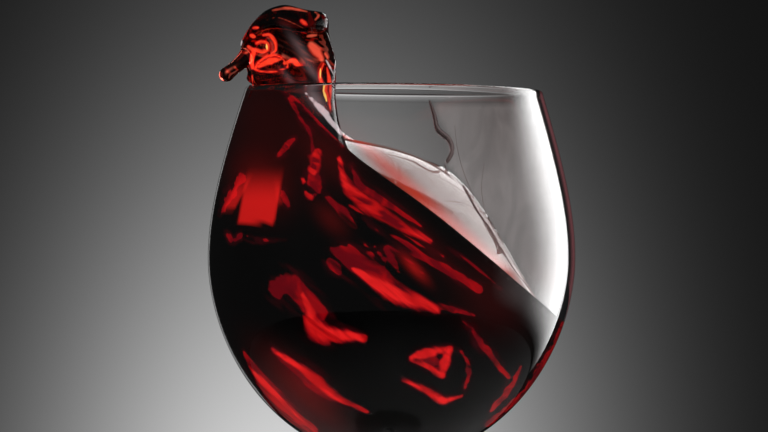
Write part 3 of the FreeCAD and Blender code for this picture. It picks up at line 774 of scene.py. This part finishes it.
# ---- materials ---------------------------------------------------------------------------------------
class Nodes:
    """Short hands for a node tree: each adds one node, sets or links its inputs and gives its output."""

    def __init__(self, tree):
        self.tree = tree

    def add(self, kind, **settings):
        node = self.tree.nodes.new(kind)
        for key, value in settings.items():
            setattr(node, key, value)
        return node

    def put(self, value, socket):
        if isinstance(value, bpy.types.NodeSocket):
            self.tree.links.new(value, socket)
        else:
            socket.default_value = value

    def fill(self, node, inputs):
        for key, value in inputs.items():
            self.put(value, node.inputs[key])

    def maths(self, operation, *values):
        node = self.add("ShaderNodeMath", operation=operation)
        for value, socket in zip(values, node.inputs):
            self.put(value, socket)
        return node.outputs[0]

    def step(self, value, low, high):
        node = self.add("ShaderNodeMapRange", interpolation_type="SMOOTHSTEP")
        self.fill(node, {"Value": value, "From Min": low, "From Max": high})
        return node.outputs[0]

    def mix(self, factor, a, b, **settings):
        node = self.add("ShaderNodeMix", data_type="RGBA", **settings)
        self.fill(node, {0: factor, 6: a, 7: b})
        return node.outputs[2]

    def field(self, name):
        return self.add("ShaderNodeAttribute", attribute_name=name).outputs["Fac"]

    def noise(self, scale, detail=3.0, slope=0.0, stretch=(1, 1, 1), swirl=0.0):
        """Noise drawn out by the stretches along X, Y and Z after the axes dip by the slope towards +X."""
        where = self.add("ShaderNodeTexCoord").outputs["Object"]
        turned = self.add("ShaderNodeMapping", vector_type="TEXTURE")
        self.fill(turned, {"Vector": where, "Rotation": (0, math.radians(slope), 0), "Scale": stretch})
        noise = self.add("ShaderNodeTexNoise")
        self.fill(noise, {"Vector": turned.outputs[0], "Scale": scale, "Detail": detail, "Distortion": swirl})
        return noise.outputs["Fac"]


BLACK = (0, 0, 0, 1)
WHITE = (1, 1, 1, 1)
GLASS_CLEAR = (0.985, 0.99, 0.99, 1)
GLASS_FILMED = (0.97, 0.96, 0.96, 1)
FILM_GLOW = (1.0, 0.88, 0.86, 1)
TRAIL_BROWN = (0.60, 0.48, 0.48, 1)
DROP_RED = (0.6, 0.02, 0.02, 1)
ABSORBED_IN_WINE = (0.72, 0.15, 0.0, 1)
# Painted light: emission colours of the streaks of light through the wine's wall and of their haze.
BRIGHT_RED = (0.74, 0.012, 0.012, 1)
FULL_RED = (0.42, 0.003, 0.004, 1)
MIDDLE_RED = (0.30, 0.001, 0.003, 1)
DEEP_RED = (0.11, 0.0, 0.003, 1)
DARK_RED = (0.02, 0.0, 0.001, 1)
# Painted light: emission colour of the soft painted glows.
SOFT_RED = (1.0, 0.014, 0.012, 1)
# Painted light on the crest, ORANGE_RED to GREY_SHEEN: light through the sheet, glows, glints, reflections,
# highlights and sheens.
ORANGE_RED = (0.82, 0.045, 0.016, 1)
FULL_ORANGE = (0.45, 0.008, 0.006, 1)
SALMON = (0.60, 0.075, 0.04, 1)
PALE = (0.56, 0.46, 0.48, 1)
YELLOW = (1.0, 0.55, 0.12, 1)
GREY_SHEEN = (0.80, 0.62, 0.66, 1)
# Painted sheen and glow colours of the open surface.
POOL_PINK = (0.15, 0.085, 0.075, 1)
POOL_ORANGE = (0.42, 0.03, 0.012, 1)
POOL_PALE = (0.40, 0.35, 0.34, 1)
FLOOR_PALE = (0.42, 0.42, 0.42, 1)
# Painted shade: the floor's colour far from the glass.
FLOOR_SHADE = (0.13, 0.13, 0.13, 1)
GLASS_IOR = 1.5
WINE_IOR = 1.345


def new_material(name):
    """A node material with its tree's short hands and its shader."""
    material = bpy.data.materials.new(name)
    material.use_nodes = True
    return material, Nodes(material.node_tree), material.node_tree.nodes["Principled BSDF"]


def clear_material(name, colour, ior, roughness=0.0, through=1.0):
    """A see-through material: colour, index of refraction, roughness and the share of light let through."""
    material, nodes, shader = new_material(name)
    look = {"Base Color": colour, "Transmission Weight": through, "Roughness": roughness, "IOR": ior}
    nodes.fill(shader, look)
    return material, nodes, shader


def glass_material(name, mirror):
    """Clear glass whose mirror reflection is full at 1 and gone at 0, as it is where wine wets it."""
    material, _, shader = clear_material(name, GLASS_CLEAR, GLASS_IOR)
    shader.inputs["Specular Tint"].default_value = (mirror, mirror, mirror, 1)
    return material


def film_material():
    """Glass with a thin film of wine left on it, and a faint warm grey painted glow in uneven runs that
    stands in for the light the film scatters.
    """
    material, nodes, shader = clear_material("filmed_glass", GLASS_FILMED, GLASS_IOR)
    runs = nodes.step(nodes.noise(95.0, 3.0, 20, (1, 1, 4), 1.2), 0.25, 0.75)
    amount = nodes.maths("MULTIPLY_ADD", runs, FILM_GLOW_RUNS, FILM_GLOW_LEVEL)
    strength = nodes.maths("MULTIPLY", nodes.field("film"), amount)
    # Painted glow: emission that stands in for light scattered by the film.
    nodes.fill(shader, {"Emission Color": FILM_GLOW, "Emission Strength": strength})
    return material


def wine_material():
    """Clear red wine: dark by absorption, with painted light as its emission where the fields say so,
    standing in for light shining through it and for its highlights, glints and sheens. The fields' edges are
    broken up by noise drawn out along the flow."""
    material, nodes, shader = clear_material("red_wine", WHITE, WINE_IOR)
    absorb = nodes.add("ShaderNodeVolumeAbsorption")
    nodes.fill(absorb, {"Color": ABSORBED_IN_WINE, "Density": 800.0})
    nodes.put(absorb.outputs["Volume"], material.node_tree.nodes["Material Output"].inputs["Volume"])
    mirror = nodes.maths("MULTIPLY_ADD", nodes.field("dull"), -0.88, nodes.field("free"))
    # Painted light: the emission colour stands in for light through the wine and for its highlights, glints
    # and sheens.
    colour = crest_light(nodes, wall_light(nodes))
    cloudy = nodes.maths("MULTIPLY_ADD", nodes.noise(60.0, 3.0, 40, (3, 1, 1), 1.0), 0.5, 0.72)
    # Painted sheen and glow on the open surface, standing in for reflected and scattered light.
    pool = nodes.mix(nodes.field("orange_glow"), POOL_PINK, POOL_ORANGE)
    colour = nodes.mix(nodes.maths("MULTIPLY", nodes.field("pool"), cloudy), colour, pool)
    colour = nodes.mix(nodes.field("end"), colour, POOL_PALE)
    # Painted glow: the soft field's emission.
    glow = nodes.mix(nodes.field("soft"), BLACK, SOFT_RED)
    light = nodes.mix(1.0, colour, glow, blend_type="ADD")
    nodes.fill(shader, {"Specular Tint": mirror, "Emission Color": light, "Emission Strength": 1.0})
    return material


def wall_light(nodes):
    """Colour of the painted light that stands in for light through the wall: a painted haze, then the deep
    streaks and the bright streaks' edges, then the bright streaks, each veined by noise along the flow."""
    broad = nodes.noise(150.0, 4.0, 40, (4, 1.5, 1), 1.2)
    fine = nodes.noise(520.0, 3.0, 38, (7, 1.5, 1), 0.4)
    veins = nodes.noise(260.0, 3.0, 36, (7, 2, 1), 0.8)
    ragged = nodes.maths("MULTIPLY_ADD", broad, 3.0, -1.5)
    ragged = nodes.maths("ADD", ragged, nodes.maths("MULTIPLY_ADD", fine, 2.0, -1.0))
    bright = nodes.maths("ADD", nodes.field("bright"), ragged)
    core = nodes.step(bright, -0.25, 0.75)
    deep = nodes.maths("ADD", nodes.field("deep"), ragged)
    halo = nodes.maths("MAXIMUM", nodes.step(deep, -0.15, 0.3), nodes.step(bright, -0.6, 0.1))
    haze = nodes.step(nodes.maths("MAXIMUM", deep, bright), -2.0, -0.3)
    shade = nodes.step(veins, 0.42, 0.56)
    colour = nodes.mix(nodes.maths("MULTIPLY", haze, nodes.step(veins, 0.4, 0.65)), BLACK, DARK_RED)
    patches = nodes.step(nodes.noise(110.0, 3.0, 40, (2, 1.5, 1), 1.5), 0.42, 0.66)
    deep_colour = nodes.mix(patches, DEEP_RED, MIDDLE_RED)
    uneven = nodes.step(nodes.noise(90.0, 3.0, 40, (2, 1.5, 1), 1.0), 0.36, 0.52)
    colour = nodes.mix(nodes.maths("MULTIPLY", halo, nodes.step(veins, 0.28, 0.48)), colour, deep_colour)
    colour = nodes.mix(core, colour, nodes.mix(nodes.maths("MULTIPLY", shade, uneven), FULL_RED, BRIGHT_RED))
    return nodes.mix(nodes.maths("MULTIPLY", core, nodes.step(veins, 0.44, 0.36)), colour, DEEP_RED)


def crest_light(nodes, colour):
    """The crest's painted lights over the wall's colour: orange lines of light through the sheet with a deep
    red edge, salmon patches of glow, pale glints and reflections, hot yellow highlights and grey sheens."""
    wobble = nodes.maths("MULTIPLY_ADD", nodes.noise(300.0, 3.0, 52, (2, 2, 1), 0.5), 0.7, -0.35)
    orange = nodes.maths("ADD", nodes.field("orange"), wobble)
    blotch = nodes.maths("MULTIPLY_ADD", nodes.noise(500.0, 3.0, 52, (2, 2, 1), 1.0), 1.6, -0.8)
    inner = nodes.step(nodes.maths("ADD", orange, blotch), -0.1, 0.6)
    colour = nodes.mix(nodes.step(orange, -0.5, 0.1), colour, DEEP_RED)
    colour = nodes.mix(nodes.step(orange, 0.0, 0.14), colour, nodes.mix(inner, FULL_ORANGE, ORANGE_RED))
    salmon = nodes.maths("ADD", nodes.field("salmon"), nodes.maths("MULTIPLY_ADD", blotch, 0.5, wobble))
    colour = nodes.mix(nodes.step(salmon, -0.1, 0.9), colour, SALMON)
    pale = nodes.step(nodes.maths("ADD", nodes.field("pale"), blotch), -0.2, 0.5)
    colour = nodes.mix(pale, colour, PALE)
    colour = nodes.mix(nodes.step(nodes.field("hot"), -0.25, 0.2), colour, YELLOW)
    return nodes.mix(nodes.field("sheen"), colour, GREY_SHEEN)


# ---- studio ------------------------------------------------------------------------------------------
CAMERA_DISTANCE = 822.0
CAMERA_UNDER_RIM = 35.9
CAMERA_SIDE = -2.3
CAMERA_LENS = 135.9
CAMERA_ROLL = math.radians(0.8)


def make_camera():
    """A long lens far in front of the bowl, level, from a little under the rim, and hardly turned."""
    camera = bpy.data.cameras.new("camera")
    camera.lens = CAMERA_LENS
    camera.sensor_width = 36.0
    camera.clip_end = 50.0
    holder = bpy.data.objects.new("camera", camera)
    place = Vector((CAMERA_SIDE, -CAMERA_DISTANCE, RIM_HEIGHT - CAMERA_UNDER_RIM)) * MM
    level = Matrix.Translation(place) @ Matrix.Rotation(math.pi / 2, 4, "X")
    holder.matrix_world = level @ Matrix.Rotation(CAMERA_ROLL, 4, "Z")
    bpy.context.scene.collection.objects.link(holder)
    bpy.context.scene.camera = holder


def soft_box(name, bearing, elevation, distance, width, height, radiance, colour=(1, 1, 1)):
    """A rectangular lamp that faces the bowl, its bearing counted from straight behind it (+Y) towards +X."""
    lamp = bpy.data.lights.new(name, "AREA")
    lamp.shape = "RECTANGLE"
    lamp.size, lamp.size_y = width, height
    lamp.energy = radiance * math.pi * width * height
    lamp.color = colour
    holder = bpy.data.objects.new(name, lamp)
    b, e = math.radians(bearing), math.radians(elevation)
    away = Vector((math.sin(b) * math.cos(e), math.cos(b) * math.cos(e), math.sin(e)))
    holder.location = Vector((0, 0, BELLY_HEIGHT * MM)) + away * distance
    holder.rotation_euler = away.to_track_quat("Z", "Y").to_euler()
    holder.visible_camera = False
    bpy.context.scene.collection.objects.link(holder)


SCREEN_DISTANCE = 1000.0
SCREEN_COLUMNS = 49
SCREEN_ROWS = 25
ROOM_LEVELS = (0.006, 0.075)  # brightness of the room ahead and behind the camera
ROOM_REACH = (0.985, -0.5)  # the Y of the directions where it starts and ends to rise


def side_light(bearing, elevation):
    """Full up to 56 degrees and gone at 90, with a dim tail out to 124; it fades slowly downwards."""
    level = 3.0 * smooth_step(90, 56, bearing) + 0.7 * smooth_step(124, 88, bearing)
    return level * smooth_step(-24, -13, elevation) * smooth_step(27, 17, elevation)


def upper_light(bearing, elevation):
    """Full over the middle and soft at its far edges, where the wine mirrors it from nearer the front."""
    tall = smooth_step(20, 27, elevation) * smooth_step(48, 38, elevation)
    return 5.2 * smooth_step(66, 52, bearing) * tall


def make_screen(name, bearings_seen, elevations_seen, light_at):
    """A curved white screen round the bowl, (sin b, cos b, tan e) * distance, lit unevenly: light_at gives
    its level by bearing (from +Y towards +X) and elevation in degrees, and the room's level is the least."""
    bearing = np.linspace(*bearings_seen, SCREEN_COLUMNS)[:, None] + np.zeros(SCREEN_ROWS)
    elevation = np.linspace(*elevations_seen, SCREEN_ROWS)[None, :] + np.zeros((SCREEN_COLUMNS, 1))
    b, e = np.radians(bearing), np.radians(elevation)
    spots = np.stack([np.sin(b), np.cos(b), np.tan(e)], axis=-1) * SCREEN_DISTANCE + [0, 0, BELLY_HEIGHT]
    room = np.interp(-np.cos(b) * np.cos(e), [-ROOM_REACH[0], -ROOM_REACH[1]], ROOM_LEVELS)
    light = np.maximum(light_at(bearing, elevation), room)
    first = (np.arange(SCREEN_COLUMNS - 1)[:, None] * SCREEN_ROWS + np.arange(SCREEN_ROWS - 1)).ravel()
    corners = np.stack([first, first + 1, first + 1 + SCREEN_ROWS, first + SCREEN_ROWS], axis=1)
    faces = (corners.ravel(), np.full(len(first), 4))
    screen = mesh_object(name, spots.reshape(-1, 3), faces, {"light": light.ravel()})
    material, nodes, shader = new_material(name + "_light")
    level = nodes.field("light")
    nodes.fill(shader, {"Base Color": BLACK, "Emission Color": WHITE, "Emission Strength": level})
    screen.data.materials.append(material)
    screen.visible_camera = False


GLOW_MIDDLE = (-0.0255, -0.154)  # X and Z of the direction to the middle of the glow
GLOW_SPREAD = (0.0766, 0.1425)
GLOW_LEVEL = 0.845


def make_world():
    """A grey room, dark ahead, with a soft glow low behind the glass: exp(-(dx/sx)^2 - (dz/sz)^2)."""
    world = bpy.data.worlds.new("studio")
    world.use_nodes = True
    bpy.context.scene.world = world
    nodes = Nodes(world.node_tree)
    split = nodes.add("ShaderNodeSeparateXYZ")
    nodes.put(nodes.add("ShaderNodeTexCoord").outputs["Generated"], split.inputs[0])
    squares = []
    for axis, middle, spread in zip("XZ", GLOW_MIDDLE, GLOW_SPREAD):
        off = nodes.maths("DIVIDE", nodes.maths("SUBTRACT", split.outputs[axis], middle), spread)
        squares.append(nodes.maths("MULTIPLY", off, off))
    glow = nodes.maths("POWER", math.exp(-1), nodes.maths("ADD", *squares))
    glow = nodes.maths("MULTIPLY", glow, nodes.maths("GREATER_THAN", split.outputs["Y"], 0.5))
    room = nodes.add("ShaderNodeMapRange", interpolation_type="LINEAR")
    limits = zip(("From Min", "From Max", "To Min", "To Max"), ROOM_REACH + ROOM_LEVELS)
    nodes.fill(room, {"Value": split.outputs["Y"], **dict(limits)})
    level = nodes.maths("MULTIPLY_ADD", glow, GLOW_LEVEL, room.outputs["Result"])
    nodes.fill(world.node_tree.nodes["Background"], {"Color": WHITE, "Strength": level})


FLOOR_RADIUS = 320.0
FLOOR_AROUND = 96
FLOOR_DROP = 0.02  # how far it lies under the foot


def make_floor():
    """A pale round floor with painted shade: its colour darkens away from the glass, standing in for the
    light on it falling off.
    """
    angle = once_round(FLOOR_AROUND)
    disc = np.stack([np.cos(angle), np.sin(angle), np.zeros(FLOOR_AROUND)], axis=1) * FLOOR_RADIUS
    disc[:, 2] = -FLOOR_DROP
    floor = mesh_object("floor", disc, (np.arange(FLOOR_AROUND), np.array([FLOOR_AROUND])))
    material, nodes, shader = new_material("pale_floor")
    distance = nodes.add("ShaderNodeVectorMath", operation="LENGTH")
    nodes.put(nodes.add("ShaderNodeTexCoord").outputs["Object"], distance.inputs[0])
    # Painted shade: darker away from the glass.
    away = nodes.step(distance.outputs["Value"], 0.08, 0.3)
    colour = nodes.mix(away, FLOOR_PALE, FLOOR_SHADE)
    nodes.fill(shader, {"Base Color": colour, "Roughness": 0.7, "Specular IOR Level": 0.2})
    floor.data.materials.append(material)


def main():
    """The studio, then the glass, the wine, and the trails and drops it left."""
    make_camera()
    make_world()
    make_floor()
    make_screen("side_screen", (38, 124), (-24, 27), side_light)
    make_screen("upper_screen", (16, 66), (20, 48), upper_light)
    soft_box("right_edge", 19, 4, 1.3, 0.3, 0.42, 0.12, (1, 0.32, 0.36))
    soft_box("left_edge", -17, 2, 1.3, 0.14, 0.9, 0.35)
    glass = make_glass()
    glass.data.materials.append(glass_material("clear_glass", 1.0))
    glass.data.materials.append(glass_material("wetted_glass", 0.0))
    glass.data.materials.append(film_material())
    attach(glass, "root")
    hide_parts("glass")
    wine = make_wine()
    wine.data.materials.append(wine_material())
    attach(wine, "root")
    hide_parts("wine")
    legs, drops = make_legs(), make_drops()
    legs.data.materials.append(clear_material("wine_trail", TRAIL_BROWN, WINE_IOR, 0.04, 0.85)[0])
    drops.data.materials.append(clear_material("wine_drop", DROP_RED, WINE_IOR, 0.04, 0.85)[0])
    for piece in (legs, drops):
        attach(piece, "root")
    bpy.context.scene.view_settings.view_transform = "Standard"


main()
